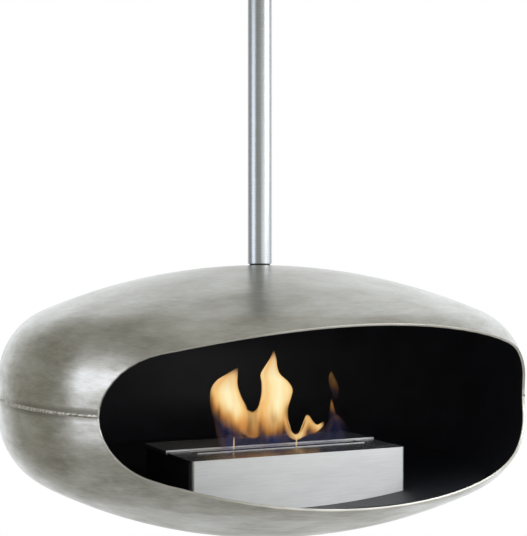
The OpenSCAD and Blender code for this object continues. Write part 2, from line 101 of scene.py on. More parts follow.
print("crown radii in mm:", round(crown_radius(UPPER_H) / MM), round(crown_radius(LOWER_H) / MM))

# %% [markdown]
# ## The camera
# The photograph was taken from the left of the opening, with the lens level and a little
# above the weld. Its place was worked out from the tube, the pod's outline and the
# opening. The picture was cropped off centre, so the lens is shifted a little.

# %% Camera
PHOTO_W, PHOTO_H = 527, 536
FOCAL_PX = 1079
AXIS_X_PX, AXIS_Y_PX = 220.4, 286.8
CAMERA_TURN = math.radians(23.87)
CAMERA_PLACE = (-0.8301, -1.7049, SEAM_Z + 0.183)
SENSOR_MM = 36
camera_data = bpy.data.cameras.new("camera")
camera_data.sensor_width = SENSOR_MM
camera_data.lens = FOCAL_PX / PHOTO_H * SENSOR_MM
camera_data.shift_x = (PHOTO_W / 2 - AXIS_X_PX) / PHOTO_H
camera_data.shift_y = (AXIS_Y_PX - PHOTO_H / 2) / PHOTO_H
camera = bpy.data.objects.new("camera", camera_data)
bpy.context.scene.collection.objects.link(camera)
camera.location = CAMERA_PLACE
camera.rotation_euler = (math.pi / 2, 0, -CAMERA_TURN)
bpy.context.scene.camera = camera
print("lens in mm:", round(camera_data.lens, 1))

# %% [markdown]
# ## Helpers for the finishes
# A material is a small network of nodes. One function adds a node with its settings and
# its links, so each finish below reads as a list of its layers. Colours are written as
# the sRGB hex values that a colour picker shows, and one function makes them linear.

# %% Colour and node helpers


def srgb(hex_colour):
    """A hex colour as the linear values that Blender's sockets take."""
    parts = [int(hex_colour[i : i + 2], 16) / 255 for i in (1, 3, 5)]
    return tuple(p / 12.92 if p <= 0.04045 else ((p + 0.055) / 1.055) ** 2.4 for p in parts) + (1.0,)


def add_node(tree, kind, settings=None, links=None):
    """Adds a node. Settings are properties, input values, or the stops of a colour ramp as
    pairs of a place and a hex colour. Links are the outputs to plug in."""
    made = tree.nodes.new(kind)
    for name, value in (settings or {}).items():
        if name == "stops":
            band = made.color_ramp.elements
            while len(band) < len(value):
                band.new(0.5)
            for element, (place, colour) in zip(band, value):
                element.position = place
                element.color = srgb(colour)
        elif isinstance(name, int) or name in made.inputs:
            made.inputs[name].default_value = value
        else:
            setattr(made, name, value)
    for name, output in (links or {}).items():
        tree.links.new(output, made.inputs[name])
    return made


def new_material(name):
    """An empty material with its output node and the object's own coordinates."""
    made = bpy.data.materials.new(name)
    made.use_nodes = True
    made.node_tree.nodes.clear()
    tree = made.node_tree
    return made, tree, add_node(tree, "ShaderNodeOutputMaterial"), add_node(tree, "ShaderNodeTexCoord")


print("helpers ready")

# %% [markdown]
# ## A soft studio
# The photograph has a white background without a visible floor. The floor here lies
# under the hanging pod, takes its soft shadow, and runs out to plain white, so no
# horizon shows. Polished steel only shows what stands round it, so the surroundings
# matter more than the lamps: behind the pod, a little to the right, hangs a bright
# white screen, and the rest of the room is a warm grey a third as bright. That gives
# the light crown and outline, and the darker olive front. The camera sees plain white.

# %% World: the screen and the room
world = bpy.data.worlds.new("studio")
bpy.context.scene.world = world
world.use_nodes = True
sky = world.node_tree
sky.nodes.clear()
# Linear light levels: what steel mirrors, in the room and on the screen, and what matt things get.
ROOM_LIGHT = (0.390, 0.380, 0.330, 1)
SCREEN_LIGHT = (1.17, 1.20, 1.23, 1)
DIFFUSE_LIGHT = (0.6, 0.6, 0.6, 1)
SCREEN_TURN = math.radians(150)
SCREEN_WAY = Vector((math.sin(SCREEN_TURN), -math.cos(SCREEN_TURN), 0))
SCREEN_EDGE, SCREEN_FULL = 0.44, 0.92  # cosines: it ends 64 degrees off its middle, full at 23
sky_out = add_node(sky, "ShaderNodeOutputWorld")
sky_ray = add_node(sky, "ShaderNodeLightPath")
sky_way = add_node(sky, "ShaderNodeTexCoord")
sky_near = add_node(sky, "ShaderNodeVectorMath", {"operation": "DOT_PRODUCT", 1: SCREEN_WAY},
                    {0: sky_way.outputs["Generated"]})
sky_share = add_node(sky, "ShaderNodeMapRange",
                     {"From Min": SCREEN_EDGE, "From Max": SCREEN_FULL, "interpolation_type": "SMOOTHSTEP"},
                     {"Value": sky_near.outputs["Value"]})
sky_shown = add_node(sky, "ShaderNodeMix", {"data_type": "RGBA", 6: ROOM_LIGHT, 7: SCREEN_LIGHT},
                     {0: sky_share.outputs["Result"]})
print("screen is", round(SCREEN_LIGHT[1] / ROOM_LIGHT[1], 1), "times as bright as the room")

# %% World: what each ray sees
sky_gloss = add_node(sky, "ShaderNodeMath", {"operation": "MAXIMUM"},
                     {0: sky_ray.outputs["Is Glossy Ray"], 1: sky_ray.outputs["Is Transmission Ray"]})
sky_level = add_node(sky, "ShaderNodeMix", {"data_type": "RGBA", 6: DIFFUSE_LIGHT},
                     {0: sky_gloss.outputs[0], 7: sky_shown.outputs[2]})
sky_camera = add_node(sky, "ShaderNodeMix", {"data_type": "RGBA", 7: srgb("#ffffff")},
                      {0: sky_ray.outputs["Is Camera Ray"], 6: sky_level.outputs[2]})
sky_light = add_node(sky, "ShaderNodeBackground", {"Strength": 1.0}, {"Color": sky_camera.outputs[2]})
sky.links.new(sky_light.outputs[0], sky_out.inputs["Surface"])
bpy.context.scene.view_settings.view_transform = "Standard"
print("world:", len(sky.nodes), "nodes")

# %% Floor
FLOOR_Z = -1.62
FLOOR_HALF = 30
FADE_FROM, FADE_TO = 1.1, 2.4  # metres from the ceiling plate: all white 1.8 m out on the floor
floor_mesh = bmesh.new()
bmesh.ops.create_grid(floor_mesh, x_segments=1, y_segments=1, size=FLOOR_HALF)
bmesh.ops.translate(floor_mesh, verts=floor_mesh.verts, vec=(0, 0, FLOOR_Z))
floor_data = bpy.data.meshes.new("floor")
floor_mesh.to_mesh(floor_data)
floor_mesh.free()
floor = bpy.data.objects.new("floor", floor_data)
bpy.context.scene.collection.objects.link(floor)
floor_paint, tree, out, coords = new_material("white_floor")
reach = add_node(tree, "ShaderNodeVectorMath", {"operation": "LENGTH"}, {0: coords.outputs["Object"]})
fade = add_node(tree, "ShaderNodeMapRange",
                {"From Min": FADE_FROM, "From Max": FADE_TO, "interpolation_type": "SMOOTHSTEP"},
                {"Value": reach.outputs["Value"]})
ray = add_node(tree, "ShaderNodeLightPath")
seen = add_node(tree, "ShaderNodeMath", {"operation": "MAXIMUM"},
                {0: ray.outputs["Is Camera Ray"], 1: ray.outputs["Is Glossy Ray"]})
share = add_node(tree, "ShaderNodeMath", {"operation": "MULTIPLY"},
                 {0: fade.outputs["Result"], 1: seen.outputs[0]})
pale = add_node(tree, "ShaderNodeBsdfDiffuse", {"Color": srgb("#f4f4f2")})
clear = add_node(tree, "ShaderNodeBsdfTransparent")
mixed = add_node(tree, "ShaderNodeMixShader",
                 links={0: share.outputs[0], 1: pale.outputs[0], 2: clear.outputs[0]})
tree.links.new(mixed.outputs[0], out.inputs["Surface"])
floor_data.materials.append(floor_paint)
print("floor at", FLOOR_Z)

# %% [markdown]
# ## Softboxes
# Tall softboxes stand at the sides, as product photographers set them. The left one is a
# little cooler and draws the bright patch beside the opening and the bright line down
# the tube. The right one lights the tube's other side. The burner's front faces a dark
# part of the room, so a wide front lamp and a smaller high one are there for it: its
# grain stretches their reflections down to it. A weak lamp overhead fills the crown. A
# lamp's brightness is its power divided by its area and by pi, so the function takes
# the brightness that the steel should mirror, and works out the power.

# %% Lamps
POD_CENTRE = Vector((0, 0, SEAM_Z))


def softbox(name, turn, distance, height, size, level, colour="#fbfcff"):
    """A rectangular lamp facing the pod: turn in degrees from the front towards the right,
    distance and height in metres from the pod, and the brightness that steel mirrors."""
    lamp = bpy.data.lights.new(name, "AREA")
    lamp.shape, lamp.size, lamp.size_y = "RECTANGLE", size[0], size[1]
    lamp.energy = level * math.pi * size[0] * size[1]
    lamp.color = srgb(colour)[:3]
    made = bpy.data.objects.new(name, lamp)
    way = math.radians(turn)
    made.location = POD_CENTRE + Vector((math.sin(way) * distance, -math.cos(way) * distance, height))
    made.rotation_euler = (POD_CENTRE - made.location).to_track_quat("-Z", "Y").to_euler()
    made.visible_camera = False
    bpy.context.scene.collection.objects.link(made)


# Name, turn, distance, height, width and height of the lamp, brightness in the steel.
softbox("lamp_left", -88, 3.0, 0.54, (1.8, 2.0), 1.75, colour="#edf1ff")
softbox("lamp_right", 72, 3.2, 0.42, (2.0, 2.2), 0.8)
softbox("lamp_front", 14, 3.0, 0.16, (2.7, 1.85), 1.0)
softbox("lamp_high", 46, 2.4, 1.15, (1.8, 1.3), 3.8)
softbox("lamp_top", 0, 0.1, 3.0, (3.0, 3.0), 0.25)
print("lamps:", len(bpy.data.lights))

# %% [markdown]
# ## Marks with a real size
# Sheet metal is ground with a belt, and the belt leaves a grain: scratches that are long
# one way and hair thin the other. A noise pattern turns into such a grain when its
# coordinates are squeezed, so one function takes the size of the marks in millimetres.
# On the round pod and on the tube the grain runs round the axis. Radius minus height
# grows steadily from the crown to the weld, so it serves as the direction across the
# grain on the flat crown and on the steep side alike.

# %% Grain


def girth_place(tree, coords, level=SEAM_Z):
    """Coordinates round the axis: X, Y, and radius minus the height over or under a level."""
    place = coords.outputs["Object"]
    split = add_node(tree, "ShaderNodeSeparateXYZ", links={"Vector": place})
    flat = add_node(tree, "ShaderNodeVectorMath", {"operation": "MULTIPLY", 1: (1, 1, 0)}, {0: place})
    radius = add_node(tree, "ShaderNodeVectorMath", {"operation": "LENGTH"}, {0: flat.outputs[0]})
    lift = add_node(tree, "ShaderNodeMath", {"operation": "SUBTRACT", 1: level}, {0: split.outputs["Z"]})
    height = add_node(tree, "ShaderNodeMath", {"operation": "ABSOLUTE"}, {0: lift.outputs[0]})
    profile = add_node(tree, "ShaderNodeMath", {"operation": "SUBTRACT"},
                       {0: radius.outputs["Value"], 1: height.outputs[0]})
    joined = add_node(tree, "ShaderNodeCombineXYZ",
                      links={"X": split.outputs["X"], "Y": split.outputs["Y"], "Z": profile.outputs[0]})
    return joined.outputs[0]


def grain(tree, place, sizes, detail=2.0, roughness=0.5):
    """Noise with marks of these sizes in mm along X, Y and Z, as a value around one half."""
    squeezed = add_node(tree, "ShaderNodeVectorMath",
                        {"operation": "MULTIPLY", 1: tuple(1 / (size * MM) for size in sizes)}, {0: place})
    return add_node(tree, "ShaderNodeTexNoise", {"Scale": 1.0, "Detail": detail, "Roughness": roughness},
                    {"Vector": squeezed.outputs[0]}).outputs["Fac"]


print("grain helpers ready")

# %% Surface


def surface(tree, out, settings, links, colours=None, dull=None, bump=None, normal=None):
    """A Principled shader on the output. Colours are a value and the stops it runs through,
    dull is a value and the roughness where it is 0 and 1, bump is a value and its depth in mm."""
    shader = add_node(tree, "ShaderNodeBsdfPrincipled", settings, links)
    if colours:
        tint = add_node(tree, "ShaderNodeValToRGB", {"stops": colours[1]}, {"Fac": colours[0]})
        tree.links.new(tint.outputs["Color"], shader.inputs["Base Color"])
    if dull:
        rough = add_node(tree, "ShaderNodeMapRange", {"To Min": dull[1], "To Max": dull[2]},
                         {"Value": dull[0]})
        tree.links.new(rough.outputs["Result"], shader.inputs["Roughness"])
    if bump:
        relief = add_node(tree, "ShaderNodeBump", {"Strength": 1.0, "Distance": bump[1] * MM},
                          {"Height": bump[0]})
        if normal is not None:
            tree.links.new(normal, relief.inputs["Normal"])
        tree.links.new(relief.outputs["Normal"], shader.inputs["Normal"])
    tree.links.new(shader.outputs[0], out.inputs["Surface"])


print("surface helper ready")

# %% [markdown]
# ## Hand ground stainless steel, for the outside of the pod
# The halves are pressed from 4 mm stainless steel, welded, and ground over by hand. Hand
# work never gives an even tone: patches a hand wide are duller or brighter where the
# grinder dwelt, and an olive film is left between them. Over that lie scratches as long
# as a finger is wide, and some patches were also gone over crosswise, in leaning strokes.
# Real scratches are 0.1 mm wide. They are drawn 1.1 mm wide here, and the crosswise ones
# 1.8 mm, because finer ones would not show in the picture. The grain stretches every
# reflection across itself, so the shader is anisotropic, turned a quarter from the
# girth. Along the weld the sheet was drawn in, and a darker strip a thumb's width wide
# there is painted shade for that dip. From 6 cm above the weld upwards, the tone gets
# more even.

# %% Pod steel: patches and scratches
EVEN_FROM, EVEN_TO = SEAM_Z + 60 * MM, SEAM_Z + 190 * MM
pod_steel, tree, out, coords = new_material("hand_ground_stainless")
place, round_place = coords.outputs["Object"], girth_place(tree, coords)
patches = grain(tree, place, (100, 100, 45), detail=3.0, roughness=0.55)
dwell = grain(tree, round_place, (40, 40, 14), detail=4.0, roughness=0.65)
scratch = grain(tree, round_place, (14, 14, 1.1), detail=2.0, roughness=0.7)
leaning = add_node(tree, "ShaderNodeVectorRotate",
                   {"rotation_type": "AXIS_ANGLE", "Axis": (0.7, 0.7, 0.2), "Angle": 0.65}, {"Vector": place})
across = grain(tree, leaning.outputs[0], (1.8, 1.8, 16), detail=3.0, roughness=0.75)
gone_over = add_node(tree, "ShaderNodeMapRange", {"From Min": 0.5, "From Max": 0.66, "To Max": 0.5},
                     {"Value": grain(tree, place, (70, 70, 50), detail=1.0)})
marks = add_node(tree, "ShaderNodeMix", {"data_type": "FLOAT"},
                 {0: gone_over.outputs["Result"], 2: scratch, 3: across}).outputs[0]
split = add_node(tree, "ShaderNodeSeparateXYZ", links={"Vector": place})
uneven = add_node(tree, "ShaderNodeMapRange",
                  {"From Min": EVEN_FROM, "From Max": EVEN_TO, "To Min": 1.0, "To Max": 0.45},
                  {"Value": split.outputs["Z"]})
worked = add_node(tree, "ShaderNodeMix", {"data_type": "FLOAT", 0: 0.35}, {2: patches, 3: dwell})
cloud = add_node(tree, "ShaderNodeMix", {"data_type": "FLOAT", 2: 0.5},
                 {0: uneven.outputs["Result"], 3: worked.outputs[0]}).outputs[0]
tone = add_node(tree, "ShaderNodeMix", {"data_type": "FLOAT", 0: 0.25}, {2: cloud, 3: marks})
film = add_node(tree, "ShaderNodeValToRGB",
                {"stops": [(0.38, "#98968d"), (0.50, "#b5b4ae"), (0.61, "#c8c9c6")]},
                {"Fac": tone.outputs[0]})
worn = add_node(tree, "ShaderNodeMix", {"data_type": "FLOAT", 0: 0.35}, {2: cloud, 3: marks})
print("patches and scratches:", len(tree.nodes), "nodes")

# %% Pod steel: the dip along the weld, its painted shade, and the shader
DIP_FROM, DIP_TO = 2 * MM, 12 * MM
# Painted shade beside the weld: a darker strip, darkest 4 mm from it and gone at 12 mm.
DIP_SHADE_FROM, DIP_SHADE_TO = 12 * MM, 4 * MM
SHEET_WAVE = 1.8 * MM
above_weld = add_node(tree, "ShaderNodeMath", {"operation": "SUBTRACT", 1: SEAM_Z}, {0: split.outputs["Z"]})
from_weld = add_node(tree, "ShaderNodeMath", {"operation": "ABSOLUTE"}, {0: above_weld.outputs[0]})
dip = add_node(tree, "ShaderNodeMapRange",
               {"From Min": DIP_FROM, "From Max": DIP_TO, "To Min": -0.55, "To Max": 0.0,
                "interpolation_type": "SMOOTHSTEP"},
               {"Value": from_weld.outputs[0]})
hollow = add_node(tree, "ShaderNodeMath", {"operation": "ADD"},
                  {0: grain(tree, place, (120, 120, 70), detail=1.0), 1: dip.outputs["Result"]})
swell = add_node(tree, "ShaderNodeBump", {"Strength": 1.0, "Distance": SHEET_WAVE},
                 {"Height": hollow.outputs[0]})
# The darker colour near the weld is painted shade for the dip in the sheet there.
dip_shade = add_node(tree, "ShaderNodeMapRange",
                  {"From Min": DIP_SHADE_FROM, "From Max": DIP_SHADE_TO, "To Max": 0.6,
                   "interpolation_type": "SMOOTHSTEP"},
                  {"Value": from_weld.outputs[0]})
# Here the painted shade of the dip darkens the film's colour.
tint = add_node(tree, "ShaderNodeMix", {"data_type": "RGBA", 7: srgb("#77746c")},
                {0: dip_shade.outputs["Result"], 6: film.outputs["Color"]})
girth = add_node(tree, "ShaderNodeTangent", {"direction_type": "RADIAL", "axis": "Z"})
surface(tree, out, {"Metallic": 1.0, "Anisotropic": 0.7, "Anisotropic Rotation": 0.25},
        {"Base Color": tint.outputs[2], "Tangent": girth.outputs[0]},
        dull=(worn.outputs[0], 0.43, 0.19), bump=(marks, 0.05), normal=swell.outputs[0])
print("pod steel:", len(tree.nodes), "nodes")

# %% [markdown]
# ## Bare sheet edge
# The rim of the opening is the sheet's own 4 mm thickness, cut and then run over with a
# file. It is brighter than the pod and has short file marks. Its outer corner is broken,
# which the halves' normals show further down, so it catches the light all the way round.

# %% Rim steel
rim_steel, tree, out, coords = new_material("filed_stainless_edge")
file_marks = grain(tree, coords.outputs["Object"], (4, 4, 4), detail=3.0, roughness=0.7)
rim_tone = grain(tree, coords.outputs["Object"], (50, 50, 30))
rim_mix = add_node(tree, "ShaderNodeMix", {"data_type": "FLOAT", 0: 0.4}, {2: rim_tone, 3: file_marks})
surface(tree, out, {"Metallic": 1.0}, {},
        colours=(rim_mix.outputs[0], [(0.3, "#bab9b3"), (0.65, "#d4d3cd")]),
        dull=(file_marks, 0.36, 0.6), bump=(file_marks, 0.08))
print("rim steel:", len(tree.nodes), "nodes")

# %% [markdown]
# ## Black satin heat paint, for everything inside the pod
# The inside is sprayed with a stove paint. It is almost black and has a fine dry grain
# of about half a millimetre, drawn twice as coarse to show. A light only shows in it as
# a broad grey sheen, such as the sheen of the bright front panel beside the burner.

# %% Inside paint
inner_black, tree, out, coords = new_material("black_stove_paint")
mist = grain(tree, coords.outputs["Object"], (1.1, 1.1, 1.1), detail=2.0, roughness=0.6)
runs = grain(tree, coords.outputs["Object"], (60, 60, 60))
coat = add_node(tree, "ShaderNodeMix", {"data_type": "FLOAT", 0: 0.5}, {2: runs, 3: mist}).outputs[0]
surface(tree, out, {}, {}, colours=(coat, [(0.35, "#2e3037"), (0.65, "#3b3d45")]),
        dull=(coat, 0.46, 0.62), bump=(mist, 0.04))
print("inside paint:", len(tree.nodes), "nodes")

# %% [markdown]
# ## The tube, and the other turned or drawn steel
# The hanging tube is drawn stainless, polished with a belt that runs round it. That
# leaves fine rings, a cooler and more even tone than the pod, and long bright and dark
# bands down its length. The ceiling cover is spun from the same steel. The rings are
# drawn about 1 mm wide, because real ones, a tenth of that, would not show.

# %% Tube and cover steel
UNDER_ALL = -2.0  # a level below the object, so that the rings don't repeat as a mirror image
tube_steel, tree, out, coords = new_material("satin_drawn_stainless")
rings = grain(tree, girth_place(tree, coords, UNDER_ALL), (60, 60, 0.9), detail=2.0, roughness=0.7)
drawn = grain(tree, coords.outputs["Object"], (6, 6, 350))
tube_tone = add_node(tree, "ShaderNodeMix", {"data_type": "FLOAT", 0: 0.5}, {2: drawn, 3: rings}).outputs[0]
girth = add_node(tree, "ShaderNodeTangent", {"direction_type": "RADIAL", "axis": "Z"})
surface(tree, out, {"Metallic": 1.0, "Anisotropic": 0.35, "Anisotropic Rotation": 0.25},
        {"Tangent": girth.outputs[0]}, colours=(tube_tone, [(0.33, "#b1b7bc"), (0.66, "#ccd2d7")]),
        dull=(tube_tone, 0.24, 0.44), bump=(rings, 0.03))
cover_steel, tree, out, coords = new_material("spun_satin_stainless")
spun = grain(tree, girth_place(tree, coords, UNDER_ALL), (70, 70, 1.1), detail=3.0, roughness=0.7)
girth = add_node(tree, "ShaderNodeTangent", {"direction_type": "RADIAL", "axis": "Z"})
surface(tree, out, {"Metallic": 1.0, "Anisotropic": 0.5, "Anisotropic Rotation": 0.25},
        {"Tangent": girth.outputs[0]}, colours=(spun, [(0.3, "#a4a6a5"), (0.7, "#c2c4c2")]),
        dull=(spun, 0.2, 0.42), bump=(spun, 0.03))
print("tube and cover steel ready")

# %% [markdown]
# ## Brushed stainless sheet, for the burner
# The front panel is thin sheet from a mill that brushes it in one direction, so its
# grain runs straight from side to side, and it stays cooler in colour than the hand
# ground pod. The top plate and the lid have the finer, glossier mill finish and mirror
# the flames. The lid is the cleanest piece, because it is handled with every use. The
# brush lines are a tenth of a millimetre wide, and drawn ten times as wide to show.

# %% Burner steels


def brushed_sheet(name, low, high, level_rough, front_rough, grain_width, stretch):
    """Stainless sheet with a straight grain along X, which stretches reflections across it.
    The roughness pairs are for its level faces and for its upright front faces, and the
    grain's width is in mm."""
    made, tree, out, coords = new_material(name)
    along_x = add_node(tree, "ShaderNodeVectorTransform",
                       {"vector_type": "VECTOR", "convert_from": "OBJECT", "convert_to": "WORLD",
                        0: (1, 0, 0)})
    lines = grain(tree, coords.outputs["Object"], (45, grain_width, grain_width), detail=2.0, roughness=0.7)
    tone = grain(tree, coords.outputs["Object"], (120, 50, 30))
    both = add_node(tree, "ShaderNodeMix", {"data_type": "FLOAT", 0: 0.55}, {2: tone, 3: lines}).outputs[0]
    facing = add_node(tree, "ShaderNodeSeparateXYZ", links={"Vector": coords.outputs["Normal"]})
    front = add_node(tree, "ShaderNodeMath", {"operation": "ABSOLUTE"}, {0: facing.outputs["Y"]})
    level, upright = [
        add_node(tree, "ShaderNodeMapRange", {"To Min": smooth, "To Max": rough}, {"Value": both})
        for smooth, rough in (level_rough, front_rough)]
    rough_mix = add_node(tree, "ShaderNodeMix", {"data_type": "FLOAT"},
                         {0: front.outputs[0], 2: level.outputs["Result"], 3: upright.outputs["Result"]})
    surface(tree, out, {"Metallic": 1.0, "Anisotropic": stretch, "Anisotropic Rotation": 0.25},
            {"Roughness": rough_mix.outputs[0], "Tangent": along_x.outputs[0]},
            colours=(both, [(0.33, low), (0.67, high)]), bump=(lines, 0.04))
    return made


BRUSHED, ROLLED = (0.46, 0.60), (0.34, 0.55)
front_steel = brushed_sheet("brushed_stainless_front", "#e2e4e4", "#f2f4f4", BRUSHED, BRUSHED, 1.2, 0.8)
top_steel = brushed_sheet("mill_stainless_top", "#b4b5b6", "#cbcccd", (0.20, 0.32), BRUSHED, 0.9, 0.8)
lid_steel = brushed_sheet("mill_stainless_lid", "#d0d2d3", "#e6e8e8", (0.18, 0.30), BRUSHED, 0.9, 0.8)
plain_steel = brushed_sheet("rolled_steel", "#6d6c69", "#8b8a86", ROLLED, ROLLED, 1.5, 0.4)
print("burner steels ready")

# %% [markdown]
# ## Small hardware
# Zinc plated screws and plates have a bluish, faintly cloudy skin. The swivel turns in
# an oil filled bronze bush with a sintered grain, on a washer of white acetal plastic.
# The grub screws are black oxide. Each is seen only from above or with a cover off,
# but each gets its own finish.

# %% Hardware finishes


def cloudy_finish(name, low, high, metallic, smooth, rough, patch_size, grain_size, depth=0.03):
    """A finish with patches and a fine grain, both given by their size in mm, as is the depth."""
    made, tree, out, coords = new_material(name)
    broad = grain(tree, coords.outputs["Object"], (patch_size,) * 3)
    fine = grain(tree, coords.outputs["Object"], (grain_size,) * 3, detail=3.0, roughness=0.65)
    both = add_node(tree, "ShaderNodeMix", {"data_type": "FLOAT", 0: 0.5}, {2: broad, 3: fine}).outputs[0]
    surface(tree, out, {"Metallic": metallic}, {}, colours=(both, [(0.33, low), (0.67, high)]),
            dull=(both, smooth, rough), bump=(fine, depth))
    return made


# Name, darker and lighter colour, metallic, smoothest and roughest, patches, grain, depth.
zinc_steel = cloudy_finish("zinc_plated_steel", "#8f959b", "#b4bac0", 1.0, 0.26, 0.46, 18, 1.2)
zinc_screw = cloudy_finish("zinc_plated_screw", "#9aa0a6", "#c0c5ca", 1.0, 0.22, 0.4, 6, 0.6)
bronze = cloudy_finish("sintered_bronze", "#8f6a3c", "#b48a55", 1.0, 0.36, 0.55, 8, 0.7, 0.06)
acetal = cloudy_finish("white_acetal", "#dedcd4", "#eceae3", 0.0, 0.34, 0.46, 10, 0.8)
black_oxide = cloudy_finish("black_oxide_steel", "#1b1b1d", "#2c2c2f", 1.0, 0.34, 0.55, 4, 0.6)
# The spacer under the tube is near black as painted shade for the dark gap between tube and pod.
spacer_painted_shade = cloudy_finish("spacer_painted_shade_black", "#1d1e20", "#2d2e31", 0.0, 0.4, 0.6, 6, 0.6)
housing_black = cloudy_finish("black_powder_coat", "#2a2a2c", "#363638", 0.0, 0.4, 0.58, 30, 1.1, 0.06)
print("hardware finishes ready")

# %% [markdown]
# ## Ceramic wool
# The tank is stuffed with ceramic fibre that soaks up the fuel. It is a white felt of
# loose curled fibres, slightly grey with soot along the flames. Noise bends the
# coordinates before the fibres are drawn, so they curl. The fibres are a few hundredths
# of a millimetre thick, and what shows are their tufts of one to four millimetres.

# %% Wool
CURLS_PER_M = 60
CURL_REACH = (0.03, 0.03, 0.03)  # metres that the noise can shift a fibre
TUFTS = (1000 / 260, 1000 / 700, 1000 / 260)  # mm: 3.8 long and high, 1.4 thick
wool, tree, out, coords = new_material("ceramic_fibre_wool")
curl = add_node(tree, "ShaderNodeTexNoise", {"Scale": CURLS_PER_M, "Detail": 3.0},
                {"Vector": coords.outputs["Object"]})
curled = add_node(tree, "ShaderNodeVectorMath", {"operation": "MULTIPLY_ADD", 1: CURL_REACH},
                  {0: curl.outputs["Color"], 2: coords.outputs["Object"]})
fibres = grain(tree, curled.outputs[0], TUFTS, detail=4.0, roughness=0.75)
soot = grain(tree, coords.outputs["Object"], (30, 20, 20), detail=3.0)
wool_tone = add_node(tree, "ShaderNodeMix", {"data_type": "FLOAT", 0: 0.5}, {2: soot, 3: fibres})
surface(tree, out, {"Sheen Weight": 0.3, "Sheen Roughness": 0.6}, {},
        colours=(wool_tone.outputs[0], [(0.3, "#8d8a84"), (0.5, "#cbc8c1"), (0.7, "#e4e2dc")]),
        dull=(fibres, 0.85, 1.0), bump=(fibres, 0.9))
print("wool ready")

# %% [markdown]
# ## Dress the CAD nodes whose shape is already right
# Most CAD pieces keep their own mesh and only get their finish. The two halves and the
# weld are replaced further down.

# %% Finish of each node
finish_of = {
    "ceiling_plate": zinc_steel, "swivel_housing": zinc_steel, "housing_screws": zinc_screw,
    "swivel_bush": bronze, "thrust_washer": acetal, "lock_screw": black_oxide,
    "tube_top_plug": plain_steel, "cross_bolt": zinc_screw, "cross_bolt_nut": zinc_screw,
    "ceiling_cover": cover_steel, "cover_grub_screw": black_oxide, "hanging_tube": tube_steel,
    "tube_foot_plug": plain_steel, "gap_washer": spacer_painted_shade, "crown_plate": inner_black,
    "hanger_bolt": zinc_screw, "hanger_washer": zinc_screw, "hearth_plate": inner_black,
    "hearth_posts": plain_steel, "burner_housing": housing_black, "burner_front_panel": front_steel,
    "front_panel_nuts": zinc_screw, "burner_top_plate": top_steel, "fuel_tank": plain_steel,
    "ceramic_wool": wool, "burner_lid": lid_steel,
}
for node_name, finish in finish_of.items():
    for material_slot in nodes[node_name].material_slots:
        material_slot.material = finish
print("finished nodes:", len(finish_of), "of", len(nodes))

# %% [markdown]
# ## The two halves of the pod
# Each half needs three finishes: ground steel outside, black paint inside, and a bare
# filed edge round the opening. The CAD mesh has one material, so each half is copied.
# A face is outside, inside or edge by how deep it lies under the pod's outer curve and
# by where it looks. The copy also gets the curve's exact normals on its two broad
# sides, so a reflection runs over the facets without a break. The edge is only 4 mm
# wide, and its outer corner is filed off by a few tenths. A bevel that small would fill
# the mesh with slivers, so the corner's normals lean outwards instead, and it glints.

# %% The normals of a half
LOOKS_ALONG = 0.8  # cosine: within 37 degrees of the other normal
OUTSIDE, INSIDE, EDGE = 0, 1, 2
FILED = 1.0  # how far the edge's outer corner leans outwards: 1 is halfway


def side_normals(data, sides):
    """One normal for each corner: the curve's own on the broad sides, the face's mean on the edge,
    leaning halfway to the outside where the file has broken the outer corner."""
    edge_parts = {}
    for face in data.polygons:
        if sides[face.index] == EDGE:
            for corner in face.vertices:
                edge_parts.setdefault(corner, []).append(face.normal * face.area)
    normals = []
    for face in data.polygons:
        side = sides[face.index]
        for corner in face.vertices:
            depth, out_way = sheet_side(data.vertices[corner].co)
            if side == EDGE:
                near = [part for part in edge_parts[corner]
                        if part.normalized().dot(face.normal) > LOOKS_ALONG]
                mean = sum(near, Vector()).normalized()
                normals.append((mean + out_way * FILED).normalized() if depth < WALL / 2 else mean)
            else:
                normals.append(out_way if side == OUTSIDE else -out_way)
    return normals


print("outer corners of the edge lean outwards:", FILED)

# %% Dress the halves
MERGE_WITHIN = 1e-6


def dress_half(name, node):
    """A copy of a half with its finishes by side, and the smooth normals of its curve."""
    shape = bmesh.new()
    shape.from_mesh(nodes[node].data)
    bmesh.ops.remove_doubles(shape, verts=shape.verts, dist=MERGE_WITHIN)
    for face in shape.faces:
        depth, out_way = sheet_side(face.calc_center_median())
        facing = face.normal.dot(out_way)
        if facing > LOOKS_ALONG and depth < WALL / 2:
            face.material_index = OUTSIDE
        elif facing < -LOOKS_ALONG and depth > WALL / 2:
            face.material_index = INSIDE
        else:
            face.material_index = EDGE
        face.smooth = True
    sides = [face.material_index for face in shape.faces]
    data = bpy.data.meshes.new(name)
    shape.to_mesh(data)
    shape.free()
    for material in (pod_steel, inner_black, rim_steel):
        data.materials.append(material)
    data.normals_split_custom_set(side_normals(data, sides))
    made = bpy.data.objects.new(name, data)
    bpy.context.scene.collection.objects.link(made)
    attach(made, "pod")
    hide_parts(node)
    print(name, "faces outside, inside, edge:", [sides.count(side) for side in (OUTSIDE, INSIDE, EDGE)])


dress_half("upper_half", "upper_shell")
dress_half("lower_half", "lower_shell")

# %% [markdown]
# ## The weld
# The two halves meet in one weld that runs round the back, from one end of the opening
# to the other. A real bead is a row of cooled puddles, partly ground down, so it
# wanders, swells and shines in spots. A small section is spun round the axis in steps
# of 2 mm, and each point is then pushed in or out a little by noise. The section's
# feet lie under the sheet, so the bead grows out of it.

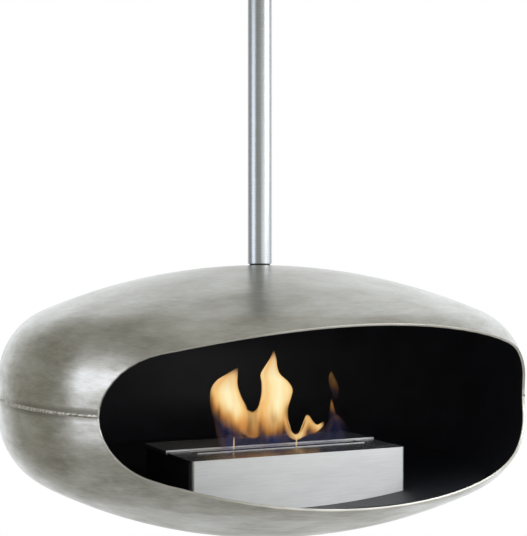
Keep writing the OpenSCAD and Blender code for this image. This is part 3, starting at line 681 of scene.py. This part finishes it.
# %% Weld finish
weld_steel, tree, out, coords = new_material("weld_bead_stainless")
puddle = grain(tree, coords.outputs["Object"], (5.5, 5.5, 4), detail=2.0, roughness=0.6)
patchy = grain(tree, coords.outputs["Object"], (50, 50, 50))
weld_tone = add_node(tree, "ShaderNodeMix", {"data_type": "FLOAT", 0: 0.35}, {2: puddle, 3: patchy})
surface(tree, out, {"Metallic": 1.0}, {},
        colours=(weld_tone.outputs[0], [(0.38, "#8b8981"), (0.5, "#aeaca4"), (0.62, "#d6d4ce")]),
        dull=(puddle, 0.5, 0.26), bump=(puddle, 0.4))
print("weld finish ready")

# %% Weld bead: the section, spun round the back
WELD_HALF = 3.3 * MM
WELD_STEP = 2 * MM
OPENING_SIDE_X = 375 * MM
# The section's points: how far outside the pod in mm, and how far across as a share of WELD_HALF.
section = [(-1.6, -1.0), (0.05, -0.8), (0.55, -0.4), (0.62, 0.0), (0.55, 0.4), (0.05, 0.8), (-1.6, 1.0)]
weld_from = -math.acos(OPENING_SIDE_X / POD_R)
weld_turn = math.pi - 2 * weld_from
bead = bmesh.new()
row = [bead.verts.new((POD_R + rise * MM, 0, SEAM_Z + side * WELD_HALF)) for rise, side in section]
chain = [bead.edges.new(pair) for pair in zip(row, row[1:] + row[:1])]
bmesh.ops.rotate(bead, verts=row, cent=(0, 0, 0), matrix=Matrix.Rotation(weld_from, 3, "Z"))
swept = bmesh.ops.spin(bead, geom=row + chain, cent=(0, 0, 0), axis=(0, 0, 1), angle=weld_turn,
                       steps=round(weld_turn * POD_R / WELD_STEP), use_duplicate=False)
far_end = [part for part in swept["geom_last"] if isinstance(part, bmesh.types.BMEdge)]
for end in (chain, far_end):
    bmesh.ops.contextual_create(bead, geom=end)
print("weld runs over", round(math.degrees(weld_turn)), "degrees in", len(bead.verts), "points")

# %% Weld bead: puddles
WELD_OUT = 0.9 * MM
PUDDLE_LONG, SURGE_LONG, WANDER_LONG = 5 * MM, 16 * MM, 34 * MM
PUDDLE_SHARE, SURGE_SHARE = 0.9, 0.6
WANDER, WANDER_LAYER = 0.8 * MM, 7
for vert in bead.verts:
    outward = Vector((vert.co.x, vert.co.y, 0)).normalized()
    if vert.co.dot(outward) > POD_R:
        ripple = noise.noise(vert.co / PUDDLE_LONG) + SURGE_SHARE * noise.noise(vert.co / SURGE_LONG)
        wander = noise.noise(Vector((vert.co.x, vert.co.y, WANDER_LAYER)) / WANDER_LONG)
        stands_out = vert.co.dot(outward) - POD_R
        swollen = max(0.0, min(WELD_OUT, stands_out * (1 + PUDDLE_SHARE * ripple)))
        vert.co += outward * (swollen - stands_out) + Vector((0, 0, wander * WANDER))
bmesh.ops.recalc_face_normals(bead, faces=bead.faces)
for face in bead.faces:
    face.smooth = True
bead_data = bpy.data.meshes.new("weld_bead")
bead.to_mesh(bead_data)
bead.free()
bead_data.materials.append(weld_steel)
weld_bead = bpy.data.objects.new("weld_bead", bead_data)
bpy.context.scene.collection.objects.link(weld_bead)
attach(weld_bead, "pod")
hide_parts("seam_weld")
print("weld bead faces:", len(bead_data.polygons))

# %% [markdown]
# ## The flames
# An ethanol flame is a thin sheet of glowing gas. It is blue and nearly clear where it
# leaves the fuel, starts to glow at a curved rim, is pale yellow in its body and ends in
# orange tips. Each tongue here is a flattened loft: a circle that is extruded and moved
# from ring to ring. Its points carry four values for the finish: how near they are to
# the tongue's side, how far along it, how dense the tongue is, and how far they are
# above its glowing rim. Light is given off by an emission colour, and alpha thins it
# out towards the sides and the tip. Streaks of noise run up through the gas.

# %% Flame finish: the values it runs on
flame_glow, tree, out, coords = new_material("ethanol_flame")
side, rise, dense, glow = [
    add_node(tree, "ShaderNodeAttribute", {"attribute_name": name}).outputs["Fac"]
    for name in ("side", "rise", "dense", "glow")]
lick = grain(tree, coords.outputs["Object"], (24, 30, 45), detail=1.0)
streak = grain(tree, coords.outputs["Object"], (13, 30, 70), detail=1.0)
sway = add_node(tree, "ShaderNodeMath", {"operation": "SUBTRACT", 1: 0.5}, {0: lick})
burn = add_node(tree, "ShaderNodeMath", {"operation": "ADD"}, {0: glow, 1: sway.outputs[0]}).outputs[0]
# Each share follows a value from a start to an end, and runs from a low to a high level there.
share_of = {}
for name, source, start, end, low, high, run in (
    ("heat", burn, -0.5, 2.5, 0.0, 1.0, "LINEAR"),
    ("core_side", side, 0.7, 0.1, 0.0, 0.9, "LINEAR"),
    ("core_body", burn, 0.5, 1.3, 0.0, 1.0, "LINEAR"),
    ("core_streak", streak, 0.34, 0.56, 0.35, 1.0, "LINEAR"),
    ("flank", side, 0.5, 1.0, 0.0, 0.7, "LINEAR"),
    ("tip", rise, 0.72, 1.0, 0.0, 0.8, "LINEAR"),
    ("body", burn, -0.3, 1.1, 0.07, 1.0, "LINEAR"),
    ("thin_side", side, 1.0, 0.80, 0.0, 1.0, "SMOOTHSTEP"),
    ("thin_tip", rise, 1.0, 0.86, 0.0, 1.0, "SMOOTHSTEP"),
    ("thin_foot", rise, 0.0, 0.10, 0.0, 1.0, "SMOOTHSTEP"),
    ("streak_low", burn, 0.2, 1.4, 0.35, 0.93, "LINEAR"),
):
    share_of[name] = add_node(
        tree, "ShaderNodeMapRange",
        {"From Min": start, "From Max": end, "To Min": low, "To Max": high, "interpolation_type": run},
        {"Value": source}).outputs["Result"]
share_of["thin_streak"] = add_node(
    tree, "ShaderNodeMapRange", {"From Min": 0.36, "From Max": 0.58, "To Max": 1.0},
    {"Value": streak, "To Min": share_of["streak_low"]}).outputs["Result"]
print("flame shares:", len(share_of))

# %% Flame finish: colour and cover


def product(tree, values):
    """All the values multiplied together."""
    total = values[0]
    for value in values[1:]:
        total = add_node(tree, "ShaderNodeMath", {"operation": "MULTIPLY"}, {0: total, 1: value}).outputs[0]
    return total


core = product(tree, [share_of["core_side"], share_of["core_streak"], share_of["core_body"], dense])
warm = add_node(tree, "ShaderNodeValToRGB",
                {"stops": [(0.08, "#4a528f"), (0.15, "#7d6468"), (0.21, "#d28a48"), (0.30, "#efae62"),
                           (0.48, "#fbd28b"), (0.75, "#ffe3a4")]},
                {"Fac": share_of["heat"]}).outputs["Color"]
for light, share in (("#fff4c6", core), ("#eca654", share_of["flank"]), ("#d8924a", share_of["tip"])):
    warm = add_node(tree, "ShaderNodeMix", {"data_type": "RGBA", 7: srgb(light)},
                    {0: share, 6: warm}).outputs[2]
cover_parts = [share_of[name] for name in ("body", "thin_side", "thin_tip", "thin_foot", "thin_streak")]
cover = product(tree, cover_parts + [dense])
surface(tree, out, {"Base Color": srgb("#000000"), "Roughness": 1.0, "Specular IOR Level": 0.0,
                    "Emission Strength": 1.0},
        {"Emission Color": warm, "Alpha": cover})
print("flame finish:", len(tree.nodes), "nodes")

# %% Flame tongues: the outline


def station_at(stations, place):
    """Both sides of a tongue at a place along it, on a smooth curve through its stations:
    a cubic piece between two stations, with the slope at each taken from its neighbours."""
    for index in range(len(stations) - 1):
        low, high = stations[index], stations[index + 1]
        if place <= high[0] or index == len(stations) - 2:
            before = stations[max(index - 1, 0)]
            after = stations[min(index + 2, len(stations) - 1)]
            gap = high[0] - low[0]
            share = (place - low[0]) / gap
            sides = []
            for k in (1, 2):
                slope_low = (high[k] - before[k]) / (high[0] - before[0]) * gap
                slope_high = (after[k] - low[k]) / (after[0] - low[0]) * gap
                sides.append(
                    (2 * share**3 - 3 * share**2 + 1) * low[k] + (share**3 - 2 * share**2 + share) * slope_low
                    + (3 * share**2 - 2 * share**3) * high[k] + (share**3 - share**2) * slope_high)
            return sides


print("halfway through a test outline:", station_at([(0, -1, 1), (10, -3, 3)], 5))

# %% Flame tongues: one tongue
FLAME_Y = -74 * MM
RING_POINTS = 24
RINGS = 36
GLOW_FADE = 40  # mm above its rim that a tongue takes to reach its full glow
FLATNESS = 0.8  # a slim tongue's depth over its width
LEAST_HALF, LEAST_DEPTH = 0.35, 0.3
DRIFT, DRIFT_LONG = 4, 45  # mm that a tongue sways to the front and back, and over what length
FOOT_SEED, DENSE_SEED = 20, 9  # they give each tongue a sway of its own


def flame_tongue(name, stations, depth, dense, rim, lean=0.0, lying=False):
    """A closed tongue of flame. Each station is a place along it and its two sides, in mm from
    the weld's centre: upwards with left and right, or, lying, to the right with low and high.
    The rim is where it starts to glow: its height, how much higher it is at both sides, and
    how much higher it is at the right side than in the middle.
    A lying tongue glows along its upper side instead, in a band of the first rim value."""
    shape = bmesh.new()
    keys = {key: shape.verts.layers.float.new(key) for key in ("side", "rise", "dense", "glow")}
    start, end = stations[0][0], stations[-1][0]
    bmesh.ops.create_circle(shape, cap_ends=True, radius=1.0, segments=RING_POINTS)
    ring, edges = list(shape.verts), list(shape.edges)
    centre, half, thick = Vector((0, 0, 0)), 1.0, 1.0
    for step in range(RINGS + 1):
        share = step / RINGS
        if step:
            grown = bmesh.ops.extrude_edge_only(shape, edges=edges)["geom"]
            ring = [part for part in grown if isinstance(part, bmesh.types.BMVert)]
            edges = [part for part in grown if isinstance(part, bmesh.types.BMEdge)
                     and part.verts[0] in ring and part.verts[1] in ring]
        place = start + (end - start) * share
        low, high = station_at(stations, place)
        new_half = max((high - low) / 2, LEAST_HALF)
        new_thick = max(min(depth, new_half * FLATNESS), LEAST_DEPTH)
        sway_at = Vector((dense * DENSE_SEED, place / DRIFT_LONG, start / FOOT_SEED))
        new_centre = Vector(((low + high) / 2, noise.noise(sway_at) * DRIFT + lean * share, place))
        move = (Matrix.Translation(new_centre) @ Matrix.Diagonal((new_half / half, new_thick / thick, 1, 1))
                @ Matrix.Translation(-centre))
        bmesh.ops.transform(shape, matrix=move, verts=ring)
        for vert in ring:
            offset = (vert.co.x - new_centre.x) / new_half
            if lying:
                above = 1 - (high - vert.co.x) / rim[0]
            else:
                above = (place - rim[0] - rim[1] * offset**2 - rim[2] * offset) / GLOW_FADE
            vert[keys["side"]] = min(1.0, abs(offset))
            vert[keys["rise"]] = 0.5 - abs(share - 0.5) if lying else share
            vert[keys["dense"]] = dense
            vert[keys["glow"]] = above
        centre, half, thick = new_centre, new_half, new_thick
    bmesh.ops.holes_fill(shape, edges=edges)
    swap = Matrix(((0, 0, 1), (0, 1, 0), (1, 0, 0))) if lying else Matrix.Identity(3)
    place_all = Matrix.Translation((0, FLAME_Y, SEAM_Z)) @ Matrix.Scale(MM, 4) @ swap.to_4x4()
    bmesh.ops.transform(shape, matrix=place_all, verts=shape.verts)
    bmesh.ops.recalc_face_normals(shape, faces=shape.faces)
    for face in shape.faces:
        face.smooth = True
    data = bpy.data.meshes.new(name)
    shape.to_mesh(data)
    shape.free()
    data.materials.append(flame_glow)
    tongue = bpy.data.objects.new(name, data)
    bpy.context.scene.collection.objects.link(tongue)
    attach(tongue, "burner")
    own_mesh(tongue)
    return tongue


print("each tongue has", RINGS + 1, "rings of", RING_POINTS, "points")

# %% Flame tongues: all nine
tongues = [
    flame_tongue("flame_left", [
        (-97, -104, -84), (-83, -107, -77), (-64, -115, -66), (-45, -120, -58), (-20, -126, -60),
        (0, -128, -71), (16, -125, -77), (29, -114, -79), (38, -98, -78.5), (50, -79, -77.5)],
        13, 0.98, (-52, 14, -18), lean=-3),
    flame_tongue("flame_middle", [
        (-97, -30, 12), (-86, -34, 16), (-67, -40, 19), (-47, -44, 18), (-24, -39, 17), (-4, -34, 23),
        (9, -32, 26), (22, -31.5, 18), (36, -33, 1), (49, -26, -4.5), (63, -17, -6.5), (77, -10.5, -9.5)],
        14, 0.99, (-66, 14, 0)),
    flame_tongue("flame_valley", [
        (-90, -34, -2), (-82, -46, -4), (-74, -57, -9), (-66, -65, -17), (-58, -70, -22), (-50, -72, -25),
        (-42, -71, -22), (-35, -66, -13), (-27, -56, -6), (-20, -46, -2)],
        9, 0.8, (44,), lean=2, lying=True),
    flame_tongue("flame_bend", [
        (8, -56, -26), (14, -66, -40), (19, -73, -56), (24, -76, -64), (30, -78, -68), (36, -77.5, -67.5),
        (42, -75, -60), (47, -73, -49), (51, -74, -39), (54.5, -73, -35), (60, -71, -42), (67, -69, -50),
        (74, -66, -54), (81, -61, -52), (87, -56, -48)], 8, 0.86, (26,), lean=-3, lying=True),
    flame_tongue("flame_right", [
        (-97, 86, 133), (-80, 89, 129), (-62, 93, 122), (-44, 97, 115), (-28, 100, 109), (-10, 103, 105)],
        8, 0.38, (-38, 26, 8), lean=4),
    flame_tongue("flame_wisp", [
        (-14, 104, 110), (-4, 103, 114), (8, 99, 115), (18, 97, 112), (28, 97, 107), (38, 100, 102)],
        6, 0.17, (8, 0, 0), lean=2),
    flame_tongue("flame_veil", [
        (-108, -97, -76), (-96, -97, -62), (-60, -97, -66), (-20, -97, -62), (20, -97, -64), (60, -97, -66),
        (92, -97, -58), (112, -97, -36), (136, -97, -66)], 11, 0.9, (0.5,), lying=True),
    flame_tongue("flame_jet_left", [(-88, -86, -84), (-78, -86.3, -83.7), (-65, -85.6, -84.4)],
                 2, 0.42, (-130, 0, 0)),
    flame_tongue("flame_jet_right", [(-90, 31.2, 33.4), (-80, 31, 33.6), (-66, 31.8, 32.8)],
                 2, 0.42, (-130, 0, 0)),
]
print("flame tongues:", len(tongues), "faces:", sum(len(tongue.data.polygons) for tongue in tongues))
